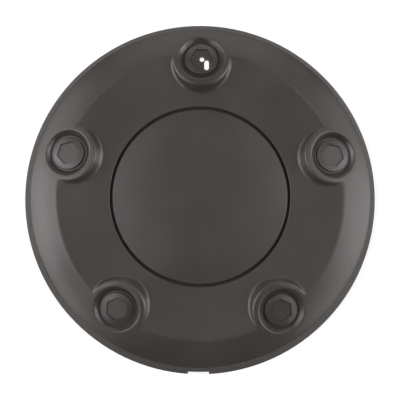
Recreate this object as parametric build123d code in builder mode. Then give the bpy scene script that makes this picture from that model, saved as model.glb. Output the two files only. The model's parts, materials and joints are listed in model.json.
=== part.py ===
"""Wheel centre cap for a five-bolt steel wheel: one plastic moulding that pushes over the bolt heads.

The origin is the middle of the rim's foot, +Z points out of the face and +Y runs through the first bolt.
"""

import math
import os

from build123d import *

# Bolt pattern of the wheel
bolt_circle = 130.0
bolt_count = 5
first_bolt_angle = 90.0

# Rim, crowned band and flat face; the margins are measured outward from the bolt circle
rim_margin = 17.5
flat_margin = 2.2
face_height = 13.0
band_tilt = 18.6
crown_radius = 82.0
skirt_draft = 19.0
shoulder_round = 1.8
crease_round = 6.0
crease_gap = 0.02
wall = 2.4
inner_corner_round = 1.5

# Centre disc and the groove round it; the margin is the flat between the groove and the boss tops
disc_margin = 10.2
disc_crown = 3.0
groove_width = 1.4
groove_depth = 1.6
groove_edge_round = 0.3

# Bosses that stand above the flat
boss_diameter = 26.6
boss_tilt = 14.0
boss_crown = 1.0
boss_draft = 28.5
boss_top_round = 1.4
boss_foot_round = 2.0

# Bolt recess, from the boss inward: a land, a flared wall, a ring groove, a crowned button and a hexagon
recess_tilt = 16.0
recess_shift = 0.6
boss_land = 2.2
lip_round = 0.9
recess_depth = 3.1
recess_flare = 2.6
ring_groove_width = 0.7
button_drop = 1.4
button_crown = 0.8
button_edge_round = 0.5
hex_across_flats = 10.0
hex_depth = 1.1
hex_draft = 20.0
hex_turn = 30.0

# Bolt-head sockets on the back, slit into spring fingers, with a ledge that stops the bolt's head
socket_bore = 24.4
socket_wall = 1.8
socket_set_back = 0.6
socket_roof = 1.5
ledge_width = 1.2
ledge_drop = 0.5
slit_width = 2.0
slit_height = 4.2
slit_turn = 45.0

# Stiffening ribs on the back
rib_thickness = 1.6
ring_rib_thickness = 2.4
rib_height = 4.0
rib_count = 10

# Pry notch in the rim, opposite the first bolt
notch_width = 11.7
notch_height = 3.2
notch_side_draft = 9.0
notch_corner_round = 0.8

# Hole and slot drilled through the first bolt's recess, placed from the bolt: across, then towards the rim
drill_diameter = 2.1
drill_place = (0.3, -0.2)
drill_slot_place = (2.5, -3.0)
drill_slot_length = 2.7

# Slack for picking edges that lie in a plane
pick_slack = 0.01

# Worked out from the sizes above
bolt_r = bolt_circle / 2
boss_r = boss_diameter / 2
rim_r = bolt_r + rim_margin
flat_r = bolt_r + flat_margin
groove_r = bolt_r - boss_r - disc_margin
crest_r = flat_r - crown_radius * math.sin(math.radians(band_tilt))
crown_centre_z = face_height - crown_radius * math.cos(math.radians(band_tilt))
draft_slope = math.tan(math.radians(skirt_draft))
ceiling_z = face_height - wall
clear_z = crown_centre_z + crown_radius + wall


def crown_z(r, inset=0.0):
    """Height of the crowned band's section at radius r, or of a skin that lies inset below it."""
    return crown_centre_z + math.sqrt((crown_radius - inset) ** 2 - (r - crest_r) ** 2)


def shoulder(foot_r, inset=0.0):
    """Point where a drafted wall that stands on foot_r meets the crowned band, or a skin below it."""
    reach = foot_r - crest_r
    a = 1 + draft_slope**2
    b = -2 * (crown_centre_z + draft_slope * reach)
    c = reach**2 + crown_centre_z**2 - (crown_radius - inset) ** 2
    z = (-b + math.sqrt(b**2 - 4 * a * c)) / (2 * a)
    return (foot_r - z * draft_slope, z)


def crown_arc(start_r, end_r, inset=0.0):
    """Section of the crowned band between two radii."""
    points = [(r, crown_z(r, inset)) for r in (start_r, (start_r + end_r) / 2, end_r)]
    return ThreePointArc(*points)


def crown_section(start_r, foot_r, edge_round, inset=0.0):
    """Section of the crowned band, its rounded shoulder and the drafted wall down to its foot."""
    lean = math.radians(skirt_draft)
    round_r, round_z = shoulder(foot_r - edge_round / math.cos(lean), inset + edge_round)
    grow = edge_round / (crown_radius - inset - edge_round)
    wall_top = (round_r + edge_round * math.cos(lean), round_z + edge_round * math.sin(lean))
    band = crown_arc(start_r, round_r + grow * (round_r - crest_r), inset)
    TangentArc(band @ 1, wall_top, tangent=band % 1)
    Line(wall_top, (foot_r, 0))


def dome_section(top_z, edge_r, fall, edge_round, edge_z):
    """Section of a dome that falls to edge_r, its rounded edge and the upright wall down to edge_z."""
    dome_radius = (edge_r**2 + fall**2) / (2 * fall)
    centre_z = top_z - dome_radius
    round_r = edge_r - edge_round
    round_rise = math.sqrt((dome_radius - edge_round) ** 2 - round_r**2)
    grow = dome_radius / (dome_radius - edge_round)
    dome = TangentArc((0, top_z), (round_r * grow, centre_z + round_rise * grow), tangent=(1, 0))
    TangentArc(dome @ 1, (edge_r, centre_z + round_rise), tangent=dome % 1)
    Line((edge_r, centre_z + round_rise), (edge_r, edge_z))


def leaning_section(r, z, tilt):
    """Upright plane through a bolt at angle 0, set at r and z, its y axis leaning outward by tilt."""
    lean = math.radians(tilt)
    return Plane((r, 0, z), x_dir=(math.cos(lean), 0, -math.sin(lean)), z_dir=(0, -1, 0))


# Sections are turned from the side opposite the first bolt, so that no seam crosses a boss
section = Plane((0, 0, 0), x_dir=(0, -1, 0), z_dir=(-1, 0, 0))

# Boss: a leaning cone with a crowned top and a rounded edge, level with the band's crown at its inner edge
boss_lean = math.radians(boss_tilt)
boss_top_z = crown_z(bolt_r - boss_r * math.cos(boss_lean)) - boss_r * math.sin(boss_lean)
boss_section = leaning_section(bolt_r, boss_top_z, boss_tilt)
boss_foot_r = boss_r + face_height * math.tan(math.radians(boss_draft))

with BuildPart() as boss:
    with BuildSketch(boss_section):
        with BuildLine():
            TangentArc((0, boss_crown), (boss_r, 0), tangent=(1, 0))
            Polyline((boss_r, 0), (boss_foot_r, -face_height), (0, -face_height), (0, boss_crown))
        make_face()
        fillet(vertices().sort_by_distance((boss_r, 0))[0], boss_top_round)
    revolve(axis=Axis(boss_section.origin, boss_section.y_dir))

# Face cutter: what lies above the flat, the disc and its groove, with the bosses left standing
disc_edge_r = groove_r - groove_width / 2
disc_top_z = face_height + disc_crown
groove_outer_r = groove_r + groove_width / 2
groove_floor_z = face_height - groove_depth
crease_r = crest_r + math.sqrt((crown_radius + crease_gap) ** 2 - (face_height - crown_centre_z) ** 2)

with BuildPart() as face_cutter:
    with BuildSketch(section):
        with BuildLine():
            dome_section(disc_top_z, disc_edge_r, disc_crown, groove_edge_round, groove_floor_z)
            Polyline(
                (disc_edge_r, groove_floor_z),
                (groove_outer_r, groove_floor_z),
                (groove_outer_r, face_height),
                (crease_r, face_height),
            )
            crown_arc(crease_r, rim_r, -crease_gap)
            Polyline((rim_r, crown_z(rim_r, -crease_gap)), (rim_r, clear_z), (0, clear_z), (0, disc_top_z))
        make_face()
    revolve(axis=Axis.Z)
    for r, edge_round in ((groove_outer_r, groove_edge_round), (crease_r, crease_round)):
        ring = section.from_local_coords((-r, face_height))
        fillet(edges().sort_by_distance(ring)[0], edge_round)
    with PolarLocations(0, bolt_count, first_bolt_angle):
        add(boss.part, mode=Mode.SUBTRACT)
    foot_edges = edges(Select.LAST).filter_by_position(Axis.Z, 0, face_height + pick_slack)
    fillet(foot_edges, boss_foot_round)

# Bolt recess, leaning outward from the crown a little outside the bolt circle
recess_r = bolt_r + recess_shift
recess_section = leaning_section(recess_r, crown_z(recess_r), recess_tilt)
recess_axis = Axis(recess_section.origin, recess_section.y_dir)
mouth_r = boss_r - boss_land
recess_floor_r = mouth_r - recess_flare
button_r = recess_floor_r - ring_groove_width
cutter_top_r = mouth_r + recess_flare

with BuildPart() as bolt_recess:
    with BuildSketch(recess_section):
        with BuildLine():
            dome_section(-button_drop, button_r, button_crown, button_edge_round, -recess_depth)
            Polyline(
                (button_r, -recess_depth),
                (recess_floor_r, -recess_depth),
                (cutter_top_r, recess_depth),
                (0, recess_depth),
                (0, -button_drop),
            )
        make_face()
    revolve(axis=recess_axis)
    hex_origin = recess_section.from_local_coords((0, -button_drop))
    with BuildSketch(Plane(hex_origin, x_dir=recess_section.x_dir, z_dir=recess_section.y_dir)):
        RegularPolygon(hex_across_flats / 2, 6, major_radius=False, rotation=hex_turn)
    extrude(amount=-hex_depth, taper=hex_draft)

# Socket: a bore under each boss, a relief above its ledge with a roof that follows the recess, crossed slits
roof_depth = recess_depth + socket_roof
roof = Plane(
    recess_section.from_local_coords((0, -roof_depth)),
    x_dir=recess_section.x_dir,
    z_dir=recess_section.y_dir,
)
socket_r = socket_bore / 2
tube_r = socket_r + socket_wall
relief_r = socket_r - ledge_width
roof_fall = (bolt_r + relief_r - roof.origin.X) * math.tan(math.radians(recess_tilt))
ledge_z = roof.origin.Z - roof_fall - ledge_drop

with BuildPart() as socket_core:
    with BuildSketch(Plane((bolt_r, 0, 0))):
        Circle(relief_r)
    extrude(amount=clear_z)
    split(bisect_by=roof, keep=Keep.BOTTOM)
    with BuildSketch(Plane((bolt_r, 0, 0))):
        Circle(socket_r)
    extrude(amount=ledge_z)
    with BuildSketch(Plane((bolt_r, 0, 0))):
        for turn in (slit_turn, -slit_turn):
            Rectangle(2 * (tube_r + slit_width), slit_width, rotation=turn)
    extrude(amount=socket_set_back + slit_height)

# Underside: the hollow of the cap, with the socket tubes and ribs left standing in it
inner_foot_r = rim_r - wall / math.cos(math.radians(skirt_draft))
inner_flat_r = crest_r + math.sqrt((crown_radius - wall) ** 2 - (ceiling_z - crown_centre_z) ** 2)
disc_roof_z = ceiling_z + disc_crown

with BuildPart() as underside:
    with BuildSketch(section):
        with BuildLine():
            TangentArc((0, disc_roof_z), (disc_edge_r, ceiling_z), tangent=(1, 0))
            Line((disc_edge_r, ceiling_z), (inner_flat_r, ceiling_z))
            crown_section(inner_flat_r, inner_foot_r, inner_corner_round, wall)
            Polyline((inner_foot_r, 0), (0, 0), (0, disc_roof_z))
        make_face()
    revolve(axis=Axis.Z)
    with BuildSketch(Plane.XY.offset(socket_set_back)):
        with PolarLocations(bolt_r, bolt_count, first_bolt_angle):
            Circle(tube_r)
    extrude(amount=clear_z, mode=Mode.SUBTRACT)
    with BuildSketch(Plane.XY.offset(ceiling_z - rib_height)):
        Circle(groove_r + ring_rib_thickness / 2)
        Circle(groove_r - ring_rib_thickness / 2, mode=Mode.SUBTRACT)
        with PolarLocations(groove_r, rib_count, first_bolt_angle):
            Rectangle(rim_r - groove_r, rib_thickness, align=(Align.MIN, Align.CENTER))
    extrude(amount=clear_z, mode=Mode.SUBTRACT)

# The cap: the full crown, then everything cut from it
notch_start_r = inner_foot_r - notch_height * draft_slope - wall

with BuildPart() as centre_cap:
    with BuildSketch(section):
        with BuildLine():
            crown_section(crest_r, rim_r, shoulder_round)
            Polyline((rim_r, 0), (0, 0), (0, crown_z(crest_r)), (crest_r, crown_z(crest_r)))
        make_face()
    revolve(axis=Axis.Z)
    add(face_cutter.part, mode=Mode.SUBTRACT)
    add(underside.part, mode=Mode.SUBTRACT)
    with PolarLocations(0, bolt_count, first_bolt_angle):
        add(socket_core.part, mode=Mode.SUBTRACT)
    with PolarLocations(0, bolt_count, first_bolt_angle):
        add(bolt_recess.part, mode=Mode.SUBTRACT)
    floor_length = 2 * math.pi * recess_floor_r
    lips = edges(Select.LAST).filter_by(lambda edge: edge.length > floor_length + pick_slack)
    fillet(lips, lip_round)
    with BuildSketch(Plane.XZ.offset(notch_start_r)):
        Trapezoid(
            notch_width,
            notch_height,
            90 - notch_side_draft,
            align=(Align.CENTER, Align.MIN),
        )
        fillet(vertices().group_by(Axis.Z)[-1], notch_corner_round)
    extrude(amount=rim_r, mode=Mode.SUBTRACT)
    with BuildSketch():
        with PolarLocations(bolt_r, 1, first_bolt_angle, rotate=False):
            with Locations(drill_place):
                Circle(drill_diameter / 2)
            with Locations(drill_slot_place):
                SlotCenterToCenter(drill_slot_length, drill_diameter, rotation=90)
    extrude(amount=clear_z, mode=Mode.SUBTRACT)

centre_cap.part.label = "centre_cap"
os.makedirs("parts", exist_ok=True)
export_step(centre_cap.part, "parts/centre_cap.step")
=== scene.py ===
"""Wheel centre cap: the moulded finish, the stage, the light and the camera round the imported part.

One satin plastic moulding lies face up on a pale floor, seen from above and a few degrees off its axis.
All lengths are metres in the part's own frame: +Z out of the face, +Y through the drilled bolt boss.
"""

import json
import math

import bpy
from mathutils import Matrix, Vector


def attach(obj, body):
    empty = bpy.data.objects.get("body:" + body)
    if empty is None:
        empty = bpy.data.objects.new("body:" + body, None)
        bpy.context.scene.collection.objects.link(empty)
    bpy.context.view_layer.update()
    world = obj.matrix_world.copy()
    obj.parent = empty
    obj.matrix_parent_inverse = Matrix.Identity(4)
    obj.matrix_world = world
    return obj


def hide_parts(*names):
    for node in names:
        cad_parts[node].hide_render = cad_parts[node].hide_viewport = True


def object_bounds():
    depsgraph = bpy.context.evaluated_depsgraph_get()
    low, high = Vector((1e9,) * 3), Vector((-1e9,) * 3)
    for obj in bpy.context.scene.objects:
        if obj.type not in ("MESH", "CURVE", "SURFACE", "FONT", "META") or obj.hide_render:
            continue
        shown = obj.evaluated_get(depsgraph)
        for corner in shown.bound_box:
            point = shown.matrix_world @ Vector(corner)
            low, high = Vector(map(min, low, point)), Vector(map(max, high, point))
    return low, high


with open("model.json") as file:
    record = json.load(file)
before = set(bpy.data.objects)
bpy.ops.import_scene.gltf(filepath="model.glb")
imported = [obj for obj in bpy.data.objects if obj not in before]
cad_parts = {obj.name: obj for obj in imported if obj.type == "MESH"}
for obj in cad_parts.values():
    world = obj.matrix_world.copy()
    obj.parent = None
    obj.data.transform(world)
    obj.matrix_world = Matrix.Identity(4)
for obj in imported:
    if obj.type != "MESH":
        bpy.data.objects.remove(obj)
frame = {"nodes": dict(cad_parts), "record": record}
cad_low, cad_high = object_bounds()

MM = 0.001

# Bolt circle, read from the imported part
bolt_pattern = next(m for m in frame["record"]["mounts"] if m["kind"] == "bolt_pattern")
bolt_r = bolt_pattern["dims"]["pcd_mm"] / 2 * MM
bolt_count = bolt_pattern["dims"]["count"]
first_bolt_angle = math.pi / 2

# Holes drilled in the first boss, as millimetres across and outward from its bolt, and the burr round them
drill_places = [(0.3, -0.2), (2.5, -1.65), (2.5, -3.0), (2.5, -4.35)]
drill_r = 1.05 * MM
burr_full = 0.05 * MM
burr_end = 0.45 * MM

# Groove round the centre disc, painted black as shade, and the heights between which that painted shade
# fades
groove_r = 41.5 * MM
groove_half_width = 0.7 * MM
groove_fade = 0.15 * MM
groove_shade_low = 12.3 * MM
groove_shade_high = 12.95 * MM

# Bolt recesses: where their axes come out, how far out the painted corner shade is cut back, and the share
# of it kept there
recess_r = bolt_r + 0.6 * MM
recess_mouth_r = 11.1 * MM
recess_shade_cut_r = 0.9 * recess_mouth_r
recess_shade_kept = 0.2

# Skin of the moulding; the skirt lies beyond a radius, and its normals point up less than its steepness
merge_distance = 0.001 * MM
crisp_angle = math.radians(32)
look_up_start = 0.05 * MM
skirt_start_r = 78 * MM
skirt_steepness = 0.65

# Colours, linear
plastic_colour = (0.0336, 0.0290, 0.0266, 1)
bloom_colour = (0.0428, 0.0373, 0.0345, 1)
# Painted light: the skirt's colours are lighter than the face's, standing in for the light the steep skirt
# catches
skirt_painted_light_colour = (0.0790, 0.0720, 0.0682, 1)
skirt_painted_light_bloom_colour = (0.0980, 0.0895, 0.0848, 1)
back_colour = (0.0400, 0.0370, 0.0355, 1)
dust_colour = (0.1150, 0.1030, 0.0880, 1)
rub_colour = (0.1250, 0.1180, 0.1130, 1)
# Painted shade: near black, laid in creases, round the boss walls and in the disc's groove
painted_shade_colour = (0.0050, 0.0045, 0.0040, 1)
burr_colour = (0.3000, 0.2900, 0.2800, 1)
floor_colour = (0.42, 0.42, 0.42, 1)
white = (1, 1, 1, 1)

# Roughness at the plain tone and at full bloom, and the strength of the mirror image seen head on
face_roughness = (0.29, 0.34)
face_mirror = 0.5
skirt_roughness = (0.50, 0.58)
skirt_mirror = 0.015
back_roughness = (0.26, 0.36)

# Share of each mark in the colour, and what some of them add to the roughness
rub_share = 0.45
burr_share = 0.5
# The next two shares are painted shade, in creases and round the boss walls
crevice_shade_share = 0.6
corner_shade_share = 0.7
back_rub_share = 0.3
dust_share = 0.55
rub_dulling = 0.08
groove_dulling = 0.4
dust_dulling = 0.5

# Relief of the grain, its strength on either side, and how much of it and which levels show in the tone
grain_relief = 0.03 * MM
face_grain_strength = 0.35
back_grain_strength = 0.2
grain_in_tone = 0.25
tone_levels = (0.40, 0.85)

# Scuffs: directions in degrees, noise levels at which lines and patches show, and the most scuffed place
scuff_turns = (24, 81, 138)
scuff_line_levels = (0.70, 0.78)
scuff_patch_levels = (0.46, 0.70)
scuff_patch_share = 0.4
scuff_place = (42 * MM, 57 * MM, 11 * MM)
scuff_reach = 13 * MM
scuff_core = 0.4

# Size of the speckle that makes the crevice mask's border ragged: painted shade on the face and skirt, dust
# on the back
speckle_size = 1.5 * MM

# Floor: the white that the camera sees on top of its lit grey, and painted light under the holes that shows
# full white where the cap's shadow falls
floor_size = 12.0
floor_roughness = 0.9
floor_lift = 0.66
painted_light_patch_r = 9 * MM
painted_light_patch_core_r = 0.8 * painted_light_patch_r

# Lamps: name, azimuth from the near side towards the right, elevation, width, height, power
lamp_distance = 1.6
lamps = [
    ("left_low_softbox", 270, 12, 0.90, 0.25, 1.5),
    ("left_softbox", 270, 31, 0.80, 0.60, 7.6),
    ("left_far_softbox", 240, 31, 0.80, 0.60, 4.3),
    ("left_near_softbox", 300, 31, 0.80, 0.60, 4.4),
    ("left_high_softbox", 270, 48, 0.60, 0.60, 3.2),
    ("left_far_top_softbox", 240, 60, 0.90, 0.60, 2.6),
    ("left_near_top_softbox", 300, 60, 0.90, 0.60, 2.1),
    ("left_top_softbox", 270, 66, 0.60, 0.60, 1.0),
    ("right_low_softbox", 90, 12, 0.90, 0.25, 6.6),
    ("right_softbox", 90, 31, 0.80, 0.60, 6.4),
    ("right_far_softbox", 120, 31, 0.80, 0.60, 3.1),
    ("right_near_softbox", 60, 31, 0.80, 0.60, 4.1),
    ("right_high_softbox", 90, 48, 0.60, 0.60, 2.7),
    ("right_far_top_softbox", 120, 60, 0.90, 0.60, 2.5),
    ("right_top_softbox", 90, 66, 0.60, 0.60, 0.7),
    ("far_low_softbox", 180, 12, 0.90, 0.25, 1.0),
    ("far_softbox", 180, 31, 1.40, 0.60, 3.7),
    ("overhead_softbox", 0, 89, 0.60, 0.60, 0.4),
]
ambient_strength = 0.03

# Camera: where it looks from, how far off it stands and how much of the scene it takes in
view_elevation = math.radians(85.26)
view_distance = 1.1
view_roll = math.radians(0.535)
view_width = 188.76 * MM
view_centre = Vector((0, -0.46 * MM, 0))
sensor_width = 36.0
near_clip = 0.01


def moulded_skin():
    """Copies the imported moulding, merges its faces into one skin and smooths all but its crisp edges."""
    packed = frame["nodes"]["centre_cap"]
    bpy.ops.object.select_all(action="DESELECT")
    packed.select_set(True)
    bpy.context.view_layer.objects.active = packed
    bpy.ops.object.duplicate()
    cap = bpy.context.object
    cap.name = "wheel_cap"
    bpy.ops.mesh.customdata_custom_splitnormals_clear()
    bpy.ops.object.mode_set(mode="EDIT")
    bpy.ops.mesh.select_all(action="SELECT")
    bpy.ops.mesh.remove_doubles(threshold=merge_distance)
    bpy.ops.object.mode_set(mode="OBJECT")
    bpy.ops.object.shade_smooth_by_angle(angle=crisp_angle)
    even = cap.modifiers.new("even_normals", "WEIGHTED_NORMAL")
    even.keep_sharp = True
    bpy.ops.object.modifier_apply(modifier=even.name)
    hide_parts("centre_cap")
    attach(cap, "root")
    return cap


def finish_skin(cap, face_finish, back_finish, skirt_painted_light_finish):
    """Gives one finish to what is open to the sky, one to the hidden back and a lighter one, painted light,
    to the steep skirt.
    """
    cap.data.materials.clear()
    for finish in (face_finish, back_finish, skirt_painted_light_finish):
        cap.data.materials.append(finish)
    up = Vector((0, 0, 1))
    for face in cap.data.polygons:
        if cap.ray_cast(face.center + face.normal * look_up_start, up)[0]:
            face.material_index = 1
        elif face.center.xy.length > skirt_start_r and face.normal.z < skirt_steepness:
            face.material_index = 2


def node(tree, kind, place, **settings):
    """Adds a shader node at a place on the sheet and sets its plain properties."""
    made = tree.nodes.new(kind)
    made.location = place
    for name, value in settings.items():
        setattr(made, name, value)
    return made


def joined(tree, source, target):
    """Links one node's output to another's input."""
    tree.links.new(source, target)


def maths(tree, place, operation, *operands):
    """A Math node; each operand is a number or another node's output."""
    made = node(tree, "ShaderNodeMath", place, operation=operation)
    for socket, value in zip(made.inputs, operands):
        if isinstance(value, (int, float)):
            socket.default_value = value
        else:
            joined(tree, value, socket)
    return made.outputs[0]


def remap(tree, place, value, low, high, to_low=0.0, to_high=1.0, smooth=False):
    """A Map Range node from low..high to to_low..to_high, clamped."""
    kind = "SMOOTHSTEP" if smooth else "LINEAR"
    made = node(tree, "ShaderNodeMapRange", place, interpolation_type=kind)
    joined(tree, value, made.inputs["Value"])
    limits = {"From Min": low, "From Max": high, "To Min": to_low, "To Max": to_high}
    for name, number in limits.items():
        made.inputs[name].default_value = number
    return made.outputs["Result"]


def tinted(tree, place, amount, under, over):
    """A colour mix; under and over are colours or other nodes' outputs."""
    made = node(tree, "ShaderNodeMix", place, data_type="RGBA")
    joined(tree, amount, made.inputs["Factor"])
    for name, value in (("A", under), ("B", over)):
        socket = next(s for s in made.inputs if s.name == name and s.type == "RGBA")
        if isinstance(value, tuple):
            socket.default_value = value
        else:
            joined(tree, value, socket)
    return next(s for s in made.outputs if s.type == "RGBA")


def noise(tree, place, position, scale, detail):
    """A noise texture's value; the scale is a number or another node's output."""
    made = node(tree, "ShaderNodeTexNoise", place)
    joined(tree, position, made.inputs["Vector"])
    if isinstance(scale, (int, float)):
        made.inputs["Scale"].default_value = scale
    else:
        joined(tree, scale, made.inputs["Scale"])
    made.inputs["Detail"].default_value = detail
    return made.outputs["Fac"]


def new_group(name, inputs, outputs):
    """A shader node group with named sockets; returns its tree, its input node and its output node."""
    tree = bpy.data.node_groups.new(name, "ShaderNodeTree")
    for socket_name, kind, value in inputs:
        socket = tree.interface.new_socket(socket_name, in_out="INPUT", socket_type=kind)
        if value is not None:
            socket.default_value = value
    for socket_name in outputs:
        tree.interface.new_socket(socket_name, in_out="OUTPUT", socket_type="NodeSocketFloat")
    return tree, node(tree, "NodeGroupInput", (-900, 0)), node(tree, "NodeGroupOutput", (700, 0))


def mould_grain_group():
    """Height of the tool's fine grain over a faint orange peel, and the broad drift of the tone."""
    tree, given, result = new_group(
        "mould_grain",
        [
            ("Position", "NodeSocketVector", None),
            ("Grain Size", "NodeSocketFloat", 0.3 * MM),
            ("Peel Size", "NodeSocketFloat", 2.4 * MM),
            ("Drift Size", "NodeSocketFloat", 22 * MM),
            ("Peel Share", "NodeSocketFloat", 0.4),
        ],
        ["Height", "Tone"],
    )
    layers = []
    for row, (size_name, detail) in enumerate((("Grain Size", 2), ("Peel Size", 1), ("Drift Size", 4))):
        y = 200 - 260 * row
        scale = maths(tree, (-640, y - 60), "DIVIDE", 1.0, given.outputs[size_name])
        layers.append(noise(tree, (-420, y), given.outputs["Position"], scale, detail))
    grain, peel, drift = layers
    blend = node(tree, "ShaderNodeMix", (-120, 100), data_type="FLOAT")
    joined(tree, given.outputs["Peel Share"], blend.inputs["Factor"])
    joined(tree, grain, blend.inputs["A"])
    joined(tree, peel, blend.inputs["B"])
    joined(tree, blend.outputs["Result"], result.inputs["Height"])
    fine_drift = maths(tree, (-120, -180), "MULTIPLY_ADD", grain, grain_in_tone, drift)
    joined(tree, remap(tree, (140, -180), fine_drift, *tone_levels), result.inputs["Tone"])
    return tree


def rub_marks_group():
    """Mask of thin straight scuffs, gathered at a worn place and in patches of a broad noise."""
    tree, given, result = new_group(
        "rub_marks",
        [
            ("Position", "NodeSocketVector", None),
            ("Length", "NodeSocketFloat", 16 * MM),
            ("Width", "NodeSocketFloat", 0.35 * MM),
            ("Patch Size", "NodeSocketFloat", 30 * MM),
            ("Worn Place", "NodeSocketVector", None),
            ("Worn Reach", "NodeSocketFloat", 1 * MM),
        ],
        ["Mask"],
    )
    position = given.outputs["Position"]
    along = maths(tree, (-700, -160), "DIVIDE", 1.0, given.outputs["Length"])
    across = maths(tree, (-700, -320), "DIVIDE", 1.0, given.outputs["Width"])
    stretch = node(tree, "ShaderNodeCombineXYZ", (-520, -220))
    joined(tree, along, stretch.inputs["X"])
    joined(tree, across, stretch.inputs["Y"])
    joined(tree, along, stretch.inputs["Z"])
    lines = 0.0
    for row, turn in enumerate(scuff_turns):
        y = 500 - 300 * row
        turned = node(tree, "ShaderNodeVectorRotate", (-520, y), rotation_type="Z_AXIS")
        joined(tree, position, turned.inputs["Vector"])
        turned.inputs["Angle"].default_value = math.radians(turn)
        drawn = node(tree, "ShaderNodeVectorMath", (-320, y), operation="MULTIPLY")
        joined(tree, turned.outputs["Vector"], drawn.inputs[0])
        joined(tree, stretch.outputs["Vector"], drawn.inputs[1])
        streak = noise(tree, (-140, y), drawn.outputs["Vector"], 1.0, 1)
        line = remap(tree, (60, y), streak, *scuff_line_levels)
        lines = maths(tree, (240, y), "MAXIMUM", lines, line)
    patch_scale = maths(tree, (-320, -460), "DIVIDE", 1.0, given.outputs["Patch Size"])
    patch = noise(tree, (-140, -460), position, patch_scale, 2)
    strewn = remap(tree, (60, -460), patch, *scuff_patch_levels, smooth=True)
    strewn = maths(tree, (240, -460), "MULTIPLY", strewn, scuff_patch_share)
    gap = node(tree, "ShaderNodeVectorMath", (-320, -700), operation="DISTANCE")
    joined(tree, position, gap.inputs[0])
    joined(tree, given.outputs["Worn Place"], gap.inputs[1])
    share = maths(tree, (-140, -700), "DIVIDE", gap.outputs["Value"], given.outputs["Worn Reach"])
    worn = remap(tree, (60, -700), share, scuff_core, 1.0, 1.0, 0.0, smooth=True)
    worn = maths(tree, (420, -460), "MAXIMUM", strewn, worn)
    joined(tree, maths(tree, (560, -100), "MULTIPLY", lines, worn), result.inputs["Mask"])
    return tree


def crevice_dust_and_shade_group():
    """Mask of grooves and inner corners, ragged at its border: painted shade on the face and skirt, dust on
    the back.
    """
    tree, given, result = new_group(
        "crevice_dust_and_shade",
        [
            ("Position", "NodeSocketVector", None),
            ("Reach", "NodeSocketFloat", 1.6 * MM),
            ("Raggedness", "NodeSocketFloat", 0.25),
            ("Start", "NodeSocketFloat", 0.34),
            ("Full", "NodeSocketFloat", 0.72),
        ],
        ["Mask"],
    )
    open_sky = node(tree, "ShaderNodeAmbientOcclusion", (-420, 120), samples=8, only_local=True)
    joined(tree, given.outputs["Reach"], open_sky.inputs["Distance"])
    closed = maths(tree, (-220, 120), "SUBTRACT", 1.0, open_sky.outputs["AO"])
    speckle = noise(tree, (-420, -160), given.outputs["Position"], 1 / speckle_size, 3)
    centred = maths(tree, (-320, -300), "SUBTRACT", speckle, 0.5)
    ragged = maths(tree, (-220, -160), "MULTIPLY", centred, given.outputs["Raggedness"])
    settled = remap(tree, (180, 0), maths(tree, (0, 0), "ADD", closed, ragged), 0.0, 1.0, smooth=True)
    joined(tree, given.outputs["Start"], settled.node.inputs["From Min"])
    joined(tree, given.outputs["Full"], settled.node.inputs["From Max"])
    joined(tree, settled, result.inputs["Mask"])
    return tree


def placed_group(tree, place, group, position, **values):
    """Places a node group with its own values; underscores stand for the spaces in their names."""
    made = node(tree, "ShaderNodeGroup", place, node_tree=group)
    joined(tree, position, made.inputs["Position"])
    for name, value in values.items():
        made.inputs[name.replace("_", " ")].default_value = value
    return made


def plan_gap(tree, place, position, spots):
    """Distance, as seen from above, to the nearest of some spots."""
    x, y = place
    flat = node(tree, "ShaderNodeVectorMath", place, operation="MULTIPLY")
    joined(tree, position, flat.inputs[0])
    flat.inputs[1].default_value = (1, 1, 0)
    nearest = None
    for row, spot in enumerate(spots):
        gap = node(tree, "ShaderNodeVectorMath", (x + 200, y - 200 * row), operation="DISTANCE")
        joined(tree, flat.outputs["Vector"], gap.inputs[0])
        gap.inputs[1].default_value = (*spot, 0)
        if nearest is None:
            nearest = gap.outputs["Value"]
        else:
            nearest = maths(tree, (x + 400, y - 200 * row), "MINIMUM", nearest, gap.outputs["Value"])
    return nearest


def drill_burr(tree, position):
    """Mask of the whitened plastic round the drilled holes."""
    holes = [(across * MM, bolt_r + outward * MM) for across, outward in drill_places]
    gap = plan_gap(tree, (-900, -900), position, holes)
    return remap(tree, (-300, -900), gap, drill_r + burr_full, drill_r + burr_end, 1.0, 0.0, smooth=True)


def groove_shade(tree, position):
    """Mask of the painted shade: black in the groove round the centre disc."""
    reach = plan_gap(tree, (-900, -1800), position, [(0, 0)])
    off = maths(tree, (-500, -1800), "SUBTRACT", reach, groove_r)
    gap = maths(tree, (-300, -1800), "ABSOLUTE", off)
    inside = remap(tree, (-100, -1800), gap, groove_half_width, groove_half_width + groove_fade, 1.0, 0.0)
    parts = node(tree, "ShaderNodeSeparateXYZ", (-300, -2000))
    joined(tree, position, parts.inputs[0])
    deep = remap(tree, (-100, -2000), parts.outputs["Z"], groove_shade_low, groove_shade_high, 1.0, 0.0)
    return maths(tree, (80, -1800), "MULTIPLY", inside, deep)


def recess_shade_cut(tree, position):
    """Share of the painted corner shade that is kept: little inside the bolt recesses and all of it
    elsewhere.
    """
    turns = [first_bolt_angle + 2 * math.pi * i / bolt_count for i in range(bolt_count)]
    axes = [(recess_r * math.cos(turn), recess_r * math.sin(turn)) for turn in turns]
    gap = plan_gap(tree, (-900, -2400), position, axes)
    return remap(tree, (-300, -2400), gap, recess_shade_cut_r, recess_mouth_r, recess_shade_kept, 1.0)


def new_material(name):
    """A material; returns it with its tree, its Principled shader and the position on the piece."""
    material = bpy.data.materials.new(name)
    material.use_nodes = True
    tree = material.node_tree
    surface = tree.nodes["Principled BSDF"]
    surface.location = (500, 0)
    return material, tree, surface, node(tree, "ShaderNodeTexCoord", (-1200, 0)).outputs["Object"]


def grain_bump(tree, surface, height, strength):
    """Tilts the shader's normal by the height of the grain."""
    bump = node(tree, "ShaderNodeBump", (200, -300))
    bump.inputs["Strength"].default_value = strength
    bump.inputs["Distance"].default_value = grain_relief
    joined(tree, height, bump.inputs["Height"])
    joined(tree, bump.outputs["Normal"], surface.inputs["Normal"])


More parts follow.
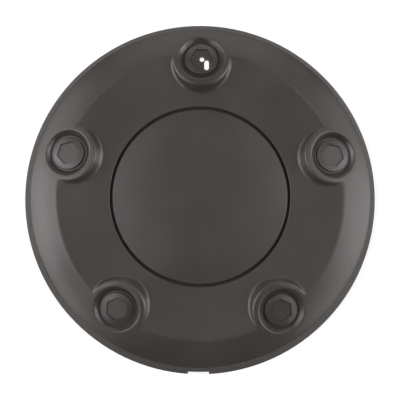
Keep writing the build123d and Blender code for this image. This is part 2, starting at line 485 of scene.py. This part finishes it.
def grained_plastic(name, groups, tone, bloom, roughness, mirror):
    """Dark warm grey plastic with a fine grain, a faint bloom, a few scuffs and painted shade in its
    grooves and corners.

    The roughness is a pair: at the plain tone, and at full bloom.
    """
    material, tree, surface, position = new_material(name)
    grain = placed_group(
        tree, (-900, 300), groups["grain"], position, Grain_Size=0.32 * MM, Peel_Share=0.35
    )
    rubs = placed_group(
        tree, (-900, 0), groups["rubs"], position, Worn_Place=scuff_place, Worn_Reach=scuff_reach
    )
    dust_and_shade = placed_group(tree, (-900, -300), groups["dust_and_shade"], position)
    # A wider crevice mask, for the painted shade round the boss walls
    corners = placed_group(
        tree, (-900, -550), groups["dust_and_shade"], position,
        Reach=6 * MM, Raggedness=0.1, Start=0.12, Full=0.45,
    )
    burr = drill_burr(tree, position)
    ring = groove_shade(tree, position)

    rubbed = maths(tree, (-600, 0), "MULTIPLY", rubs.outputs["Mask"], rub_share)
    burred = maths(tree, (-200, 80), "MULTIPLY", burr, burr_share)
    # Painted shade: near black in creases and round the boss walls, cut back in the bolt recesses, black in
    # the disc's groove
    painted_shade = maths(tree, (-200, 500), "MULTIPLY", dust_and_shade.outputs["Mask"], crevice_shade_share)
    corner_shade = maths(tree, (-200, 650), "MULTIPLY", corners.outputs["Mask"], corner_shade_share)
    painted_shade = maths(tree, (0, 500), "MAXIMUM", painted_shade, corner_shade)
    painted_shade = maths(tree, (50, 500), "MULTIPLY", painted_shade, recess_shade_cut(tree, position))
    painted_shade = maths(tree, (100, 500), "MAXIMUM", painted_shade, ring)
    colour = tinted(tree, (-400, 300), grain.outputs["Tone"], tone, bloom)
    colour = tinted(tree, (-200, 300), rubbed, colour, rub_colour)
    colour = tinted(tree, (0, 300), burred, colour, burr_colour)
    colour = tinted(tree, (200, 300), painted_shade, colour, painted_shade_colour)
    joined(tree, colour, surface.inputs["Base Color"])

    gloss = remap(tree, (-400, -100), grain.outputs["Tone"], 0.0, 1.0, *roughness)
    rub_dull = maths(tree, (-400, -300), "MULTIPLY", rubs.outputs["Mask"], rub_dulling)
    gloss = maths(tree, (-200, -100), "ADD", gloss, rub_dull)
    ring_dull = maths(tree, (-200, -300), "MULTIPLY", ring, groove_dulling)
    gloss = maths(tree, (0, -100), "ADD", gloss, ring_dull)
    joined(tree, gloss, surface.inputs["Roughness"])
    surface.inputs["Specular IOR Level"].default_value = mirror

    grain_bump(tree, surface, grain.outputs["Height"], face_grain_strength)
    return material


def plain_back(groups):
    """The hidden side: the same plastic from a polished core, with road dust in its corners."""
    material, tree, surface, position = new_material("cap_back_plastic")
    grain = placed_group(
        tree, (-900, 300), groups["grain"], position,
        Grain_Size=0.6 * MM, Drift_Size=14 * MM, Peel_Share=0.8,
    )
    rubs = placed_group(tree, (-900, 0), groups["rubs"], position, Length=9 * MM, Patch_Size=20 * MM)
    dust = placed_group(tree, (-900, -300), groups["dust_and_shade"], position, Reach=4 * MM, Raggedness=0.9)

    rubbed = maths(tree, (-600, 0), "MULTIPLY", rubs.outputs["Mask"], back_rub_share)
    settled = maths(tree, (-600, -300), "MULTIPLY", dust.outputs["Mask"], dust_share)
    colour = tinted(tree, (-400, 300), grain.outputs["Tone"], back_colour, plastic_colour)
    colour = tinted(tree, (-200, 300), rubbed, colour, rub_colour)
    colour = tinted(tree, (0, 300), settled, colour, dust_colour)
    joined(tree, colour, surface.inputs["Base Color"])

    gloss = remap(tree, (-400, -100), grain.outputs["Tone"], 0.0, 1.0, *back_roughness)
    dust_dull = maths(tree, (-200, -300), "MULTIPLY", settled, dust_dulling)
    gloss = maths(tree, (0, -100), "ADD", gloss, dust_dull)
    joined(tree, gloss, surface.inputs["Roughness"])

    grain_bump(tree, surface, grain.outputs["Height"], back_grain_strength)
    return material


def pale_floor():
    """A wide pale floor that keeps the cap's shadow and looks white to the camera outside it, with painted
    light under the drilled holes.
    """
    bpy.ops.mesh.primitive_plane_add(size=floor_size, location=(0, 0, cad_low.z))
    floor = bpy.context.object
    floor.name = "studio_floor"
    material, tree, surface, position = new_material("pale_floor")
    surface.inputs["Base Color"].default_value = floor_colour
    surface.inputs["Roughness"].default_value = floor_roughness
    surface.inputs["Specular IOR Level"].default_value = 0.0

    rays = node(tree, "ShaderNodeLightPath", (-900, 300))
    seen = maths(
        tree, (-700, 300), "MAXIMUM", rays.outputs["Is Camera Ray"], rays.outputs["Is Glossy Ray"]
    )
    seen = maths(tree, (-500, 300), "MAXIMUM", seen, rays.outputs["Is Transmission Ray"])
    # Painted light: full white under the drilled holes, where the cap's shadow falls
    gap = node(tree, "ShaderNodeVectorMath", (-700, -100), operation="DISTANCE")
    joined(tree, position, gap.inputs[0])
    gap.inputs[1].default_value = (0, bolt_r, 0)
    reach = gap.outputs["Value"]
    lift = remap(tree, (-500, -100), reach, painted_light_patch_core_r, painted_light_patch_r, 1.0, floor_lift)
    shine = node(tree, "ShaderNodeEmission", (500, 300))
    joined(tree, maths(tree, (-200, 200), "MULTIPLY", seen, lift), shine.inputs["Strength"])
    both = node(tree, "ShaderNodeAddShader", (800, 200))
    joined(tree, surface.outputs["BSDF"], both.inputs[0])
    joined(tree, shine.outputs["Emission"], both.inputs[1])
    joined(tree, both.outputs["Shader"], tree.nodes["Material Output"].inputs["Surface"])
    floor.data.materials.append(material)


def softbox(name, azimuth, elevation, width, height, power):
    """A rectangular lamp aimed at the cap; azimuth 0 is the near side and 90 the right."""
    a = math.radians(azimuth)
    e = math.radians(elevation)
    towards = Vector((math.sin(a) * math.cos(e), -math.cos(a) * math.cos(e), math.sin(e)))
    data = bpy.data.lights.new(name, "AREA")
    data.shape = "RECTANGLE"
    data.size = width
    data.size_y = height
    data.energy = power
    lamp = bpy.data.objects.new(name, data)
    lamp.location = towards * lamp_distance
    lamp.rotation_euler = (-towards).to_track_quat("-Z", "Y").to_euler()
    bpy.context.scene.collection.objects.link(lamp)


def studio_world():
    """A faint white light from all round."""
    world = bpy.data.worlds.new("studio_world")
    world.use_nodes = True
    background = world.node_tree.nodes["Background"]
    background.inputs["Color"].default_value = white
    background.inputs["Strength"].default_value = ambient_strength
    bpy.context.scene.world = world


def photo_camera():
    """Looks down at the cap at the photograph's angle, rolled so that the cap stands a little clockwise."""
    data = bpy.data.cameras.new("photo_camera")
    data.sensor_width = sensor_width
    data.lens = sensor_width * view_distance / view_width
    data.clip_start = near_clip
    back = Vector((0, -math.cos(view_elevation), math.sin(view_elevation)))
    camera = bpy.data.objects.new("photo_camera", data)
    camera.location = view_centre + back * view_distance
    camera.rotation_euler = (math.pi / 2 - view_elevation, 0, 0)
    camera.rotation_euler.rotate_axis("Z", view_roll)
    bpy.context.scene.collection.objects.link(camera)
    bpy.context.scene.camera = camera


bpy.context.scene.view_settings.view_transform = "Standard"
shared = {"grain": mould_grain_group(), "rubs": rub_marks_group(), "dust_and_shade": crevice_dust_and_shade_group()}
wheel_cap = moulded_skin()
face_plastic = grained_plastic(
    "cap_face_plastic", shared, plastic_colour, bloom_colour, face_roughness, face_mirror
)
back_plastic = plain_back(shared)
# Painted light: a lighter copy of the face plastic on the steep skirt
skirt_painted_light_plastic = grained_plastic(
    "cap_skirt_painted_light_plastic", shared, skirt_painted_light_colour, skirt_painted_light_bloom_colour, skirt_roughness, skirt_mirror
)
finish_skin(wheel_cap, face_plastic, back_plastic, skirt_painted_light_plastic)
pale_floor()
for lamp in lamps:
    softbox(*lamp)
studio_world()
photo_camera()
